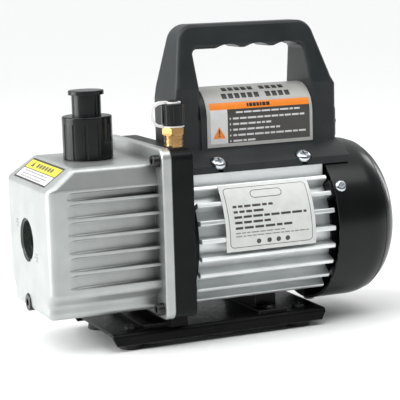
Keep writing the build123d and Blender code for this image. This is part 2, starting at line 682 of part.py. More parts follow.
def cooling_fan():
    fan = ring_x(12.0, SHAFT_R, 96, 109) + ring_x(46.0, 8.0, 96, 97.5)
    blade = Pos(102, 28.5, 0) * Box(12, 35, 1.8)
    for index in range(8):
        fan += Pos(0, 0, AXIS_Z) * Rot(45 * index, 0, 0) * blade
    return fan


def fan_cover():
    """A deep cup with a rounded rear edge and rings of air slots at the back."""
    outside = rod_x(COVER_R, COVER_RIM, COVER_END)
    outside = fillet(outside.edges().group_by(Axis.X)[-1], COVER_EDGE_R)
    inside = rod_x(COVER_R - COVER_WALL, COVER_RIM - 1, COVER_END - COVER_WALL)
    inside = fillet(inside.edges().group_by(Axis.X)[-1], COVER_EDGE_R - COVER_WALL)
    cover = outside - inside
    for radius, count in ((13.0, 6), (21.0, 10), (29.0, 14)):
        slot = Pos(COVER_END, radius, 0) * Box(8, 4.6, 5.6)
        for index in range(count):
            angle = 360 * index / count
            cover -= Pos(0, 0, AXIS_Z) * Rot(angle, 0, 0) * slot
    return cover - cover_screw_holes(46)


def fan_cover_screws():
    screws = []
    screw = Rot(-90, 0, 0) * pan_screw(2.0, 4.3, 2.4, 9.0)
    for angle in COVER_SCREW_ANGLES:
        turn = Pos(COVER_SCREW_X, 0, AXIS_Z) * Rot(angle, 0, 0)
        screws.append(turn * Pos(0, COVER_R, 0) * screw)
    return group(screws)


def nameplate():
    """A thin curved plate across the tips of the fins on the near side."""
    sheet = ring_x(FIN_TIP_R + 0.6, FIN_TIP_R + 0.1, PLATE_LEFT, PLATE_RIGHT)
    wedge = [(0.0, AXIS_Z)] + around(70.0, PLATE_SPAN)
    return common(sheet, extrude_yz(wedge, PLATE_LEFT - 1, PLATE_RIGHT + 1))


# ---- handle and the electrical parts in it ---------------------------------
def handle_arch():
    """The two legs and the grip, with every visible edge rounded."""
    arch = extrude_xz(
        [(HANDLE_LEFT, RAIL_TOP), (HANDLE_RIGHT, RAIL_TOP), (HANDLE_RIGHT, HANDLE_KINK_Z - 2),
         (HANDLE_RIGHT - 2.5, HANDLE_KINK_Z + 2), (81.0, HANDLE_TOP), (-19.5, HANDLE_TOP),
         (HANDLE_LEFT + 1.3, HANDLE_KINK_Z), (HANDLE_LEFT, HANDLE_KINK_Z - 8)], HANDLE_HALF)
    arch = fillet(arch.edges().filter_by(Axis.Y).group_by(Axis.Z)[-1], HANDLE_CORNER_R)
    window = extrude_xz(
        [(-9.3, 150), (-9.3, HANDLE_KINK_Z), (-11.2, GRIP_UNDER), (74.6, GRIP_UNDER),
         (76.5, HANDLE_KINK_Z), (76.5, 150)], HANDLE_HALF + 1)
    arch -= fillet(window.edges().filter_by(Axis.Y).group_by(Axis.Z)[-1], 4.0)
    lean = (HANDLE_HALF - GRIP_HALF) / (HANDLE_TOP - 12 - HANDLE_KINK_Z)
    high = HANDLE_TOP + 10
    thin = HANDLE_HALF - lean * (high - HANDLE_KINK_Z)
    for side in (-1, 1):
        slope = [(side * HANDLE_HALF, HANDLE_KINK_Z), (side * (HANDLE_HALF + 5), HANDLE_KINK_Z),
                 (side * (HANDLE_HALF + 5), high), (side * thin, high)]
        arch -= extrude_yz(slope, HANDLE_LEFT - 1, HANDLE_RIGHT + 1)
    outer = arch.edges().filter_by(
        lambda e: abs(e.center().Y) > GRIP_HALF / 2
        and e.center().Z > RAIL_TOP + 1
        and abs(e.center().Z - 150) > 0.5)
    return fillet(outer, HANDLE_ROUND)


def handle():
    """One hollow moulding: saddle foot, legs, grip and a barrel between the legs."""
    arch = handle_arch()
    for x in (16.7, 39.2, 61.7):
        groove = rod_y(GROOVE_R, -30, 30, x, GRIP_UNDER + 2.8 - GROOVE_R)
        arch -= common(groove, block(x - 11, x + 11, -30, 30, GRIP_UNDER - 1, HANDLE_TOP))
    barrel = block(-10, 77.5, -21.4, 21.4, RAIL_TOP, 171.0)
    barrel = fillet(barrel.edges().filter_by(Axis.X).group_by(Axis.Z)[-1], BARREL_R)
    body = arch + barrel
    lip = rod_x(LIP_CROWN_R, HANDLE_LEFT, HANDLE_RIGHT)
    body += common(lip, block(HANDLE_LEFT, HANDLE_RIGHT, -LIP_HALF, LIP_HALF, RAIL_TOP, 135))
    body -= block(HANDLE_LEFT + 3, HANDLE_RIGHT - 5, -17, 17, RAIL_TOP - 1, 152.5)
    body -= block(-5, 71, -14, 14, 150, 163)
    body -= block(74, HANDLE_RIGHT - 5, -11, 11, 152, 169)
    body -= rod_x(COVER_R + 0.4, FIN_BACK - 0.2, HANDLE_RIGHT + 1)
    for index, frame in enumerate(HANDLE_SCREW_FRAMES):
        outward = (-12, 0) if index % 2 == 0 else (0, 12)
        body -= frame * rod_z(2.5 + SCREW_GAP, 48, 70, 0, 0)
        body -= frame * rod_z(6.2, HANDLE_SEAT_R, 70, 0, 0)
        body -= frame * block(-2.55, 2.55, *outward, 48, 70)
    body -= block(PANEL_X - 4, HANDLE_RIGHT + 1, -13.6, 13.6, INLET_Z - 10, INLET_Z + 10)
    pocket = block(PANEL_X, HANDLE_RIGHT + 1, -18.7, 18.7, INLET_Z - 11.6, INLET_Z + 11.6)
    body -= fillet(pocket.edges().filter_by(Axis.X), 3.1)
    for y in INLET_SCREWS:
        body -= rod_x(1.5 + SCREW_GAP, PANEL_X - 4, HANDLE_RIGHT + 1, y, INLET_Z)
    body -= block(PANEL_X - 4, HANDLE_RIGHT + 1, -9.6, 9.6, SWITCH_Z - 6.5, SWITCH_Z + 6.5)
    pocket = block(PANEL_X, HANDLE_RIGHT + 1, -10.9, 10.9, SWITCH_Z - 7.7, SWITCH_Z + 7.1)
    body -= fillet(pocket.edges().filter_by(Axis.X), 1.3)
    return body


def handle_screws():
    screw = Pos(0, 0, HANDLE_SEAT_R) * pan_screw(2.5, 5.4, 3.6, 15.0)
    return group([frame * screw for frame in HANDLE_SCREW_FRAMES])


def handle_label():
    """A thin sticker wrapped over the near side and top of the barrel."""
    outer = block(-5.5, 76.4, -21.6, 21.6, 130.5, 171.2)
    outer = fillet(outer.edges().filter_by(Axis.X).group_by(Axis.Z)[-1], BARREL_R + 0.2)
    inner = block(-8, 80, -21.4, 21.4, 120, 171.0)
    inner = fillet(inner.edges().filter_by(Axis.X).group_by(Axis.Z)[-1], BARREL_R)
    return outer - inner - block(-8, 80, 4.0, 30, 120, 175)


def power_inlet():
    """A three-pin appliance inlet with its flange on the handle's rear end."""
    flange = block(PANEL_X, PANEL_X + 2.0, -18.6, 18.6, INLET_Z - 11.5, INLET_Z + 11.5)
    flange = fillet(flange.edges().filter_by(Axis.X), 3.0)
    body = block(PANEL_X - 19, PANEL_X + 1, -13.5, 13.5, INLET_Z - 9.9, INLET_Z + 9.9)
    inlet = flange + body
    cavity = block(PANEL_X - 15, PANEL_X + 3, -12.1, 12.1, INLET_Z - 8.2, INLET_Z + 8.2)
    cavity = chamfer(cavity.edges().filter_by(Axis.X).group_by(Axis.Z)[-1], 4.0)
    inlet -= cavity
    for y in INLET_SCREWS:
        inlet -= rod_x(1.5 + SCREW_GAP, PANEL_X - 1, PANEL_X + 3, y, INLET_Z)
    for y, z in ((-7.0, INLET_Z - 2), (0.0, INLET_Z + 2), (7.0, INLET_Z - 2)):
        inlet += block(PANEL_X - 16, PANEL_X - 2, y - 1, y + 1, z - 2, z + 2)
    return inlet


def inlet_screws():
    screw = Rot(0, 90, 0) * pan_screw(1.5, 2.5, 1.4, 5.0)
    return group([Pos(PANEL_X + 2, y, INLET_Z) * screw for y in INLET_SCREWS])


def power_switch():
    """The fixed housing of a rocker switch, with pivot holes above and below."""
    bezel = block(PANEL_X, PANEL_X + 1.8, -10.8, 10.8, SWITCH_Z - 7.6, SWITCH_Z + 7.0)
    bezel = fillet(bezel.edges().filter_by(Axis.X), 1.2)
    body = block(PANEL_X - 15, PANEL_X + 1, -9.5, 9.5, SWITCH_Z - 6.4, SWITCH_Z + 6.4)
    shell = bezel + body
    shell -= block(PANEL_X - 9, PANEL_X + 3, -7.9, 7.9, SWITCH_Z - 4.9, SWITCH_Z + 4.9)
    return shell - rod_z(1.04, SWITCH_Z - 6, SWITCH_Z + 6, ROCKER_X, 0)


def switch_rocker():
    """A rocker with a hollow face, tipped about its vertical pin to the off side."""
    outline = [(-2.0, -6.6), (6.0, -6.6), (4.2, 0.0), (6.0, 6.6), (-2.0, 6.6)]
    wire = Polyline([(x, y, -4.6) for x, y in outline], close=True)
    rocker = extrude(make_face(wire), amount=9.2, dir=(0, 0, 1))
    rocker = fillet(rocker.edges().filter_by(Axis.Z).group_by(Axis.X)[-1], 0.8)
    rocker += Cylinder(1.0, 11.8)
    return Pos(ROCKER_X, 0, SWITCH_Z) * Rot(0, 0, ROCKER_TILT) * rocker


def run_capacitor():
    can = rod_x(13.5, -12, 44, 0, 133)
    can = fillet(can.edges().filter_by(GeomType.CIRCLE), 1.5)
    for y in (-5.0, 5.0):
        can += block(43, 50, y - 0.4, y + 0.4, 130, 136)
    return can


def terminal_block():
    body = block(55, 67, -14, 14, RAIL_TOP, 125)
    for y in (-9.3, 0.0, 9.3):
        body -= rod_z(2.2, 119, 126, 61, y)
        body -= rod_x(1.4, 54, 68, y, 117.6)
    return body


# ---- base -------------------------------------------------------------------
def base_plate():
    """A sheet channel: long edges turned down with slanted ends, short ends open."""
    outer = block(BASE_LEFT, BASE_RIGHT, -BASE_HALF, BASE_HALF, BASE_LIP_BOTTOM, BASE_TOP)
    outer = fillet(outer.edges().filter_by(Axis.X).group_by(Axis.Z)[-1], BEND_R)
    inner = block(BASE_LEFT - 1, BASE_RIGHT + 1, SHEET - BASE_HALF, BASE_HALF - SHEET,
                  BASE_LIP_BOTTOM - 1, BASE_TOP - SHEET)
    inner = fillet(inner.edges().filter_by(Axis.X).group_by(Axis.Z)[-1], BEND_R - SHEET)
    plate = outer - inner
    for end, step in ((BASE_LEFT, -1), (BASE_RIGHT, 1)):
        slant = [(end, BASE_TOP - BEND_R), (end + step, BASE_TOP - BEND_R),
                 (end + step, BASE_LIP_BOTTOM - 1), (end - step * 3.4, BASE_LIP_BOTTOM - 1)]
        plate -= extrude_xz(slant, BASE_HALF + 1)
    for x, y in FOOT_PLACES:
        plate -= rod_z(2.5 + SCREW_GAP, BASE_TOP - 4, BASE_TOP + 1, x, y)
    for y in PLATE_SCREW_PLACES:
        plate -= rod_z(2.5 + SCREW_GAP, BASE_TOP - 4, BASE_TOP + 1, INTAKE_X, y)
    for y in (-32.0, -14.0, 14.0, 32.0):
        plate -= rod_z(2.0 + SCREW_GAP, BASE_TOP - 4, BASE_TOP + 1, MOTOR_FOOT_X, y)
    return plate


def pump_foot():
    """Spacer that carries the end plate on the base plate, with a sole under the tank."""
    sole = block(PLATE_FRONT - 18, PLATE_FRONT + 2, -37, 37, BASE_TOP, BASE_TOP + 3)
    sole = fillet(sole.edges().filter_by(Axis.Z).group_by(Axis.X)[0], 3.0)
    foot = block(PLATE_FRONT + 1, PLATE_BACK - 1, -40, 40, BASE_TOP, FLANGE_BOTTOM + 0.4)
    foot = fillet(foot.edges().filter_by(Axis.Z), 2.0) + sole
    for y in PLATE_SCREW_PLACES:
        foot -= rod_z(2.5 + SCREW_GAP, BASE_TOP - 1, FLANGE_BOTTOM + 1, INTAKE_X, y)
    return foot


def rubber_feet():
    feet = []
    for x, y in FOOT_PLACES:
        foot = Pos(x, y, (BASE_TOP - SHEET) / 2) * Cone(8.6, 7.4, BASE_TOP - SHEET)
        foot = fillet(foot.edges().group_by(Axis.Z)[0], 0.8)
        foot -= rod_z(4.6, -1, 4.0, x, y)
        feet.append(foot - rod_z(2.5 + SCREW_GAP, 0, 14, x, y))
    return group(feet)


def foot_screws():
    """Screws up through the feet, each with a domed nut above the base plate."""
    pieces = []
    screw = Rot(180, 0, 0) * pan_screw(2.5, 4.4, 2.6, 10.4)
    for x, y in FOOT_PLACES:
        nut = fillet(rod_z(4.0, BASE_TOP, BASE_TOP + 2.8, x, y).edges().group_by(Axis.Z)[-1], 1.4)
        pieces.append(Pos(x, y, 4.0) * screw + nut)
    return group(pieces)


# ---- files --------------------------------------------------------------------
MAKERS = [
    oil_tank, tank_gasket, sight_glass_seal, sight_glass_lens, sight_glass_ring,
    drain_plug, drain_seal, tank_screws, tank_label, exhaust_cap, exhaust_cap_seal,
    exhaust_plug, oil_mist_filter, end_plate, pump_cylinder, pump_cover, pump_screws,
    pump_rotor, vane_springs, shaft_seal, exhaust_valve_plate, valve_stop, valve_screws,
    intake_seal, intake_fitting, intake_screen, intake_cap_seal, intake_cap, cap_strap,
    motor_housing, motor_foot, base_screws, stator_core, stator_windings, rotor_core,
    motor_shaft, rear_end_bell, motor_bolts, cooling_fan, fan_cover, fan_cover_screws,
    nameplate, handle, handle_screws, handle_label, power_inlet, inlet_screws,
    power_switch, switch_rocker, run_capacitor, terminal_block, base_plate, pump_foot,
    rubber_feet, foot_screws,
]

for maker in MAKERS:
    save(maker.__name__, maker())
save("rotor_key", key_block())
save("vane_near", vane(-1))
save("vane_far", vane(1))
save("front_bearing", ball_bearing(BEARING_FRONT))
save("rear_bearing", ball_bearing(REAR_BEARING_FRONT))
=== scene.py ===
import json
from math import asin, cos, pi, radians, sin, sqrt
from random import Random

import bmesh
import bpy
from mathutils import Matrix, Vector


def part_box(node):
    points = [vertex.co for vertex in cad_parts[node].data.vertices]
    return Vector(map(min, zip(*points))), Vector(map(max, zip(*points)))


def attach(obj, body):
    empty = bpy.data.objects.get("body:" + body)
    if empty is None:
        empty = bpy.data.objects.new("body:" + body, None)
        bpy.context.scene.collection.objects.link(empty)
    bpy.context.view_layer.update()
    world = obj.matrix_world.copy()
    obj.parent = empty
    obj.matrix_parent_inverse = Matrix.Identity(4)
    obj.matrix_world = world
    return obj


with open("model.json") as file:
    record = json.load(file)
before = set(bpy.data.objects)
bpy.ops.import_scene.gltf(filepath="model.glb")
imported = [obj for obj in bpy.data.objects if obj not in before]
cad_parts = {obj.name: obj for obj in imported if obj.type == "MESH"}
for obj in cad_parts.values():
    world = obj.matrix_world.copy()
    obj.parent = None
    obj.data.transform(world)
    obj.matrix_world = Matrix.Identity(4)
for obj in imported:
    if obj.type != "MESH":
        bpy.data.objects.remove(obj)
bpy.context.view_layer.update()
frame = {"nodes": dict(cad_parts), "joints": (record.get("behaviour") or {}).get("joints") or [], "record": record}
MM = 0.001
SHAFT_Z = next(j for j in frame["joints"] if j["name"] == "rotor_spin")["pos_m"][2]

# ---- camera: metres, and millimetres of lens -----------------------------------------
CAMERA_TARGET = Vector((-0.00313, 0.0, 0.0912))
CAMERA_AZIMUTH = radians(-23.45)
CAMERA_ELEVATION = radians(9.18)
CAMERA_ROLL = radians(-1.62)
CAMERA_DISTANCE = 1.0372
CAMERA_REACH = 100
CAMERA_LENS = 131.63
SENSOR_WIDTH = 36.0

# ---- studio: metres --------------------------------------------------------------------
FLOOR_HALF = 20.0
SKY_SIDE = (0.0, 0.50, 0.87)     # the bright side of the sky: above and behind
SKY_BRIGHT = (1.0, 1.0, 1.0, 1.0)
SKY_BRIGHT_AT = 0.9
SKY_MIDDLE = (0.46, 0.47, 0.48, 1.0)
SKY_MIDDLE_AT = 0.5
SKY_DARK = (0.10, 0.102, 0.105, 1.0)
SUN_STRENGTH = 1.9
SUN_TILT = (radians(6), radians(-40), 0)
SUN_SOFTNESS = radians(45)

# ---- fan cover crease: mm --------------------------------------------------------------
CREASE_X = 117.0
CREASE_R = 55.15
CREASE_BEAD = 0.4

# ---- printed sheets: mm ------------------------------------------------------------------
INK_STEP = 0.04          # how far each layer of print stands above the one below
INK_LAYERS = 1.5         # thickness of a patch of ink, in steps, so it sinks into the one below
PATCH_STEP = 1.5         # longest stretch of a patch before it bends with the surface
CORNER_STEP = 0.4
TRIANGLE_TIP = 0.02      # half width left at the tip, so that the patch never closes up
DISC_TIP = 0.01
SHORTEST_WORD = 0.35     # as a share of the longest word of its row
ROW_REST = 1.0           # a row ends once less than this is left


# ---- materials ----------------------------------------------------------------------------
class Finish:
    """Builds one procedural material. Lengths are in millimetres on the object."""

    NOISE_RANGE = (0.3, 0.7)       # where most of a noise pattern's values lie
    NOISE_DETAIL = 3.0
    COLOUR_STOPS = (0.32, 0.68)
    WAVE_PITCH = 3.18              # bands that the wave texture puts in one unit at scale 1
    # Band along edges that takes a lighter colour: partly wear, partly painted highlight.
    EDGE_TINT_WIDTH = 0.5
    EDGE_TINT_FULL = 0.75            # cosine of the turn at which an edge gets all of the lighter edge colour, partly wear and partly painted highlight
    EDGE_SAMPLES = 4
    SOFT_SAMPLES = 6
    HOLLOW_SAMPLES = 8

    def __init__(self, name, **sockets):
        self.material = bpy.data.materials.new(name)
        self.material.use_nodes = True
        self.nodes = self.material.node_tree.nodes
        self.links = self.material.node_tree.links
        self.shader = self.nodes["Principled BSDF"]
        for socket, value in sockets.items():
            self.shader.inputs[socket.replace("_", " ")].default_value = value
        self.place = self.nodes.new("ShaderNodeTexCoord").outputs["Object"]

    def node(self, kind, **values):
        made = self.nodes.new(kind)
        for name, value in values.items():
            setattr(made, name, value)
        return made

    def grain(self, size, stretch=(1, 1, 1)):
        """Noise with features of this size, drawn out along an axis by stretch."""
        mapping = self.node("ShaderNodeMapping")
        mapping.inputs["Scale"].default_value = [1 / s for s in stretch]
        self.links.new(self.place, mapping.inputs["Vector"])
        noise = self.node("ShaderNodeTexNoise")
        noise.inputs["Scale"].default_value = 1 / (size * MM)
        noise.inputs["Detail"].default_value = self.NOISE_DETAIL
        self.links.new(mapping.outputs["Vector"], noise.inputs["Vector"])
        return noise.outputs["Fac"]

    def rings(self, pitch, direction):
        """Even lines across a direction, such as threads or stacked sheets."""
        wave = self.node("ShaderNodeTexWave", bands_direction=direction)
        wave.inputs["Scale"].default_value = 1 / (self.WAVE_PITCH * pitch * MM)
        wave.inputs["Distortion"].default_value = 0.0
        self.links.new(self.place, wave.inputs["Vector"])
        return wave.outputs["Fac"]

    def spread(self, fac, low, high):
        """Maps the middle of a noise pattern onto low to high."""
        ranged = self.node("ShaderNodeMapRange")
        ranged.inputs["From Min"].default_value = self.NOISE_RANGE[0]
        ranged.inputs["From Max"].default_value = self.NOISE_RANGE[1]
        ranged.inputs["To Min"].default_value = low
        ranged.inputs["To Max"].default_value = high
        self.links.new(fac, ranged.inputs["Value"])
        return ranged.outputs["Result"]

    def edges(self):
        """1 along sharp edges, 0 on open faces."""
        bevel = self.node("ShaderNodeBevel", samples=self.EDGE_SAMPLES)
        bevel.inputs["Radius"].default_value = self.EDGE_TINT_WIDTH * MM
        geometry = self.node("ShaderNodeNewGeometry")
        dot = self.node("ShaderNodeVectorMath", operation="DOT_PRODUCT")
        self.links.new(bevel.outputs["Normal"], dot.inputs[0])
        self.links.new(geometry.outputs["Normal"], dot.inputs[1])
        ranged = self.node("ShaderNodeMapRange")
        ranged.inputs["From Min"].default_value = 1.0
        ranged.inputs["From Max"].default_value = self.EDGE_TINT_FULL
        self.links.new(dot.outputs["Value"], ranged.inputs["Value"])
        return ranged.outputs["Result"]

    def colour(self, fac, dark, light, worn=None, wear=0.0):
        """Colour that drifts from dark to light, and along edges towards a lighter colour that is partly wear and
        partly painted highlight.
        """
        ramp = self.node("ShaderNodeValToRGB")
        for index, tone in enumerate((dark, light)):
            ramp.color_ramp.elements[index].position = self.COLOUR_STOPS[index]
            ramp.color_ramp.elements[index].color = (*tone, 1)
        self.links.new(fac, ramp.inputs["Fac"])
        result = ramp.outputs["Color"]
        # Lighter colour along edges: partly wear, partly painted highlight.
        if worn:
            strength = self.node("ShaderNodeMath", operation="MULTIPLY")
            self.links.new(self.edges(), strength.inputs[0])
            strength.inputs[1].default_value = wear
            mix = self.node("ShaderNodeMix", data_type="RGBA")
            self.links.new(strength.outputs["Value"], mix.inputs["Factor"])
            self.links.new(result, mix.inputs["A"])
            mix.inputs["B"].default_value = (*worn, 1)
            result = mix.outputs["Result"]
        self.links.new(result, self.shader.inputs["Base Color"])

    def paint_hollow_shade(self, reach, depth):
        """Paints shade into the base colour where the surface is closed in within this reach, darker in recesses
        and between parts.
        """
        source = self.shader.inputs["Base Color"].links[0].from_socket
        open_sky = self.node("ShaderNodeAmbientOcclusion", samples=self.HOLLOW_SAMPLES)
        open_sky.inputs["Distance"].default_value = reach * MM
        ranged = self.node("ShaderNodeMapRange")
        ranged.inputs["To Min"].default_value = 1 - depth
        self.links.new(open_sky.outputs["AO"], ranged.inputs["Value"])
        mix = self.node("ShaderNodeMix", data_type="RGBA", blend_type="MULTIPLY")
        mix.inputs["Factor"].default_value = 1.0
        self.links.new(source, mix.inputs["A"])
        self.links.new(ranged.outputs["Result"], mix.inputs["B"])
        self.links.new(mix.outputs["Result"], self.shader.inputs["Base Color"])

    def roughness(self, fac, low, high):
        self.links.new(self.spread(fac, low, high), self.shader.inputs["Roughness"])

    def relief(self, fac, depth, soft=0.0):
        """Raises the surface by the pattern, over edges softened by a small radius."""
        bump = self.node("ShaderNodeBump")
        bump.inputs["Distance"].default_value = depth * MM
        bump.inputs["Strength"].default_value = 1.0
        self.links.new(fac, bump.inputs["Height"])
        if soft:
            bevel = self.node("ShaderNodeBevel", samples=self.SOFT_SAMPLES)
            bevel.inputs["Radius"].default_value = soft * MM
            self.links.new(bevel.outputs["Normal"], bump.inputs["Normal"])
        self.links.new(bump.outputs["Normal"], self.shader.inputs["Normal"])


def plain_finish(name, dark, light, rough, grain, depth, metallic=0.0, stretch=(1, 1, 1),
                 soft=0.3, worn=None, wear=0.0, drift=18.0, hollows=None, **sockets):
    """Most materials: colour drift, uneven roughness, a fine grain and soft edges, with optional lighter edges
    that are partly wear and partly painted highlight, and optional painted shade in hollows.
    """
    finish = Finish(name, Metallic=metallic, **sockets)
    finish.colour(finish.grain(drift), dark, light, worn, wear)
    # Painted shade in recesses and between parts, from ambient occlusion.
    if hollows:
        finish.paint_hollow_shade(*hollows)
    finish.roughness(finish.grain(grain * 4, stretch), *rough)
    finish.relief(finish.grain(grain, stretch), depth, soft)
    return finish.material


def brass_finish(name):
    """Turned brass with even thread lines along Z, and brighter edges that are partly wear and partly painted
    highlight.
    """
    finish = Finish(name, Metallic=1.0)
    finish.colour(finish.grain(3.0, (6, 6, 1)), dark=(0.27, 0.15, 0.055), light=(0.46, 0.28, 0.12),
                  worn=(0.85, 0.68, 0.42), wear=0.3)
    finish.roughness(finish.grain(0.5, (12, 12, 1)), low=0.16, high=0.26)
    finish.relief(finish.rings(1.27, "Z"), depth=0.003, soft=0.25)
    return finish.material


def laminated_finish(name):
    """Stacked sheets of electrical steel."""
    finish = Finish(name, Metallic=1.0)
    finish.colour(finish.rings(0.5, "X"), dark=(0.22, 0.22, 0.23), light=(0.40, 0.40, 0.41))
    finish.roughness(finish.grain(1.2), low=0.35, high=0.5)
    finish.relief(finish.rings(0.5, "X"), depth=0.05)
    return finish.material


def glass_finish(name):
    finish = Finish(name, Transmission_Weight=1.0, IOR=1.5)
    finish.colour(finish.grain(9.0), dark=(0.80, 0.90, 0.86), light=(0.88, 0.96, 0.92))
    finish.roughness(finish.grain(2.0), low=0.0, high=0.04)
    finish.relief(finish.grain(5.0), depth=0.01, soft=0.2)
    return finish.material


def oil_finish(name):
    finish = Finish(name, Transmission_Weight=0.6, IOR=1.47)
    finish.colour(finish.grain(6.0), dark=(0.16, 0.10, 0.02), light=(0.30, 0.20, 0.05))
    finish.roughness(finish.grain(3.0), low=0.02, high=0.06)
    finish.relief(finish.grain(4.0), depth=0.01)
    return finish.material


def ink_finish(name, colour):
    """Printed film: almost even, with the slight mottle of print."""
    mottle = [c * 0.92 for c in colour]
    return plain_finish(name, dark=mottle, light=colour, rough=(0.32, 0.42), grain=0.35,
                        depth=0.006, soft=0.0, drift=6.0)


# Lighter edge colour for black parts: partly wear, partly painted highlight.
BLACK_EDGE_WEAR_AND_HIGHLIGHT = (0.14, 0.15, 0.15)
ALONG_X = (60, 1, 1)
# In these recipes the edge colour is partly wear and partly painted highlight, and the hollows setting paints
# shade into recesses.
PLAIN_RECIPES = {
    # Silver cast: bright edges partly wear and partly painted highlight, and painted shade in the side recesses
    # and under the ribs.
    "cast_silver": dict(
        dark=(0.42, 0.44, 0.43), light=(0.48, 0.50, 0.49), rough=(0.34, 0.44),
        grain=0.35, depth=0.016, metallic=0.75, soft=0.6,
        worn=(0.84, 0.86, 0.85), wear=0.5, hollows=(14, 0.75)),
    "black_cast": dict(
        dark=(0.003, 0.0045, 0.0045), light=(0.006, 0.0075, 0.0075), rough=(0.32, 0.42),
        grain=0.4, depth=0.010, soft=0.6,
        worn=BLACK_EDGE_WEAR_AND_HIGHLIGHT, wear=0.3, Specular_IOR_Level=0.14),
    # Extruded housing: painted shade at the fin roots and between the fins.
    "extrusion": dict(
        dark=(0.74, 0.77, 0.765), light=(0.82, 0.85, 0.845), rough=(0.36, 0.44),
        grain=0.14, depth=0.001, metallic=0.72, stretch=ALONG_X, soft=0.4, hollows=(8, 0.3)),
    "cover_black": dict(
        dark=(0.004, 0.0045, 0.0045), light=(0.006, 0.007, 0.007), rough=(0.24, 0.27),
        grain=6.0, depth=0.002, soft=0.5,
        worn=BLACK_EDGE_WEAR_AND_HIGHLIGHT, wear=0.3, Specular_IOR_Level=0.26),
    # Black base: its light edges are a painted highlight along the plate's edges, with some wear.
    "base_black": dict(
        dark=(0.003, 0.003, 0.003), light=(0.006, 0.006, 0.006), rough=(0.26, 0.36),
        grain=0.7, depth=0.006, soft=0.8,
        worn=(0.22, 0.24, 0.22), wear=0.8, Specular_IOR_Level=0.10),
    "handle_plastic": dict(
        dark=(0.016, 0.019, 0.0195), light=(0.024, 0.027, 0.0275), rough=(0.36, 0.46),
        grain=0.25, depth=0.012, soft=0.5,
        worn=(0.06, 0.065, 0.07), wear=0.3, Specular_IOR_Level=0.28),
    "black_plastic": dict(
        dark=(0.003, 0.0035, 0.004), light=(0.006, 0.0065, 0.007), rough=(0.16, 0.24),
        grain=1.5, depth=0.002, soft=0.4,
        worn=BLACK_EDGE_WEAR_AND_HIGHLIGHT, wear=0.15, Specular_IOR_Level=0.28),
    "zinc": dict(
        dark=(0.50, 0.54, 0.58), light=(0.66, 0.70, 0.72), rough=(0.16, 0.26),
        grain=0.5, depth=0.004, metallic=1.0, soft=0.3, drift=4.0),
    "black_screw": dict(
        dark=(0.010, 0.010, 0.011), light=(0.022, 0.022, 0.023), rough=(0.24, 0.36),
        grain=0.4, depth=0.006, metallic=0.4, soft=0.3, worn=(0.25, 0.25, 0.25), wear=0.4),
    # Sight glass ring: its light edges are partly wear and partly a painted rim highlight.
    "glass_ring": dict(
        dark=(0.07, 0.085, 0.08), light=(0.12, 0.14, 0.13), rough=(0.26, 0.38),
        grain=0.3, depth=0.004, metallic=0.7, stretch=(1, 6, 6), soft=0.2,
        worn=(0.5, 0.53, 0.52), wear=0.6),
    "steel": dict(
        dark=(0.50, 0.50, 0.51), light=(0.66, 0.66, 0.67), rough=(0.20, 0.34),
        grain=0.25, depth=0.006, metallic=1.0, stretch=(1, 8, 8), soft=0.2),
    "iron": dict(
        dark=(0.22, 0.22, 0.22), light=(0.32, 0.32, 0.32), rough=(0.40, 0.58),
        grain=0.5, depth=0.04, metallic=0.9),
    "carbon": dict(
        dark=(0.02, 0.02, 0.02), light=(0.05, 0.05, 0.05), rough=(0.45, 0.60),
        grain=0.3, depth=0.01, soft=0.1),
    "rubber": dict(
        dark=(0.010, 0.010, 0.010), light=(0.022, 0.022, 0.021), rough=(0.62, 0.80),
        grain=0.5, depth=0.03, soft=0.5),
    "seal_rubber": dict(
        dark=(0.030, 0.020, 0.018), light=(0.05, 0.035, 0.03), rough=(0.5, 0.65),
        grain=0.5, depth=0.01, soft=0.1),
    "strap_white": dict(
        dark=(0.80, 0.80, 0.78), light=(0.88, 0.88, 0.86), rough=(0.30, 0.42),
        grain=0.6, depth=0.006, soft=0.4,
        Subsurface_Weight=0.15, Subsurface_Radius=(0.002, 0.002, 0.002)),
    "copper": dict(
        dark=(0.42, 0.14, 0.05), light=(0.62, 0.24, 0.10), rough=(0.25, 0.40),
        grain=0.6, depth=0.12, metallic=0.8, stretch=(1, 5, 5)),
    "filter": dict(
        dark=(0.60, 0.56, 0.46), light=(0.72, 0.69, 0.60), rough=(0.85, 0.95),
        grain=0.5, depth=0.25, soft=0.3),
    "gasket_paper": dict(
        dark=(0.06, 0.07, 0.07), light=(0.09, 0.10, 0.10), rough=(0.7, 0.85),
        grain=0.4, depth=0.02, soft=0.0),
    "can_white": dict(
        dark=(0.66, 0.66, 0.63), light=(0.74, 0.74, 0.71), rough=(0.28, 0.38),
        grain=0.8, depth=0.01),
    "rocker_red": dict(
        dark=(0.36, 0.012, 0.010), light=(0.44, 0.018, 0.014), rough=(0.20, 0.30),
        grain=0.7, depth=0.006, soft=0.3),
}
SHEET_COLOURS = {
    "front_label": (0.80, 0.80, 0.80),
    "handle_label": (0.42, 0.42, 0.40),
    "nameplate": (0.68, 0.70, 0.68),
}
INK_COLOURS = {
    "black": (0.012, 0.012, 0.012),
    "charcoal": (0.055, 0.053, 0.050),
    "orange": (0.85, 0.24, 0.02),
    "yellow": (0.74, 0.64, 0.02),
    "white": (0.66, 0.66, 0.66),
    "foil": (0.66, 0.68, 0.66),
    "grey": (0.25, 0.25, 0.24),
}

SLOT_FINISHES = {name: plain_finish(name, **recipe) for name, recipe in PLAIN_RECIPES.items()}
SLOT_FINISHES |= {name: ink_finish(name, colour) for name, colour in SHEET_COLOURS.items()}
SLOT_FINISHES["brass"] = brass_finish("brass")
SLOT_FINISHES["laminations"] = laminated_finish("laminations")
SLOT_FINISHES["sight_glass"] = glass_finish("sight_glass")
INKS = {name: ink_finish(f"ink_{name}", colour) for name, colour in INK_COLOURS.items()}
OIL = oil_finish("oil")

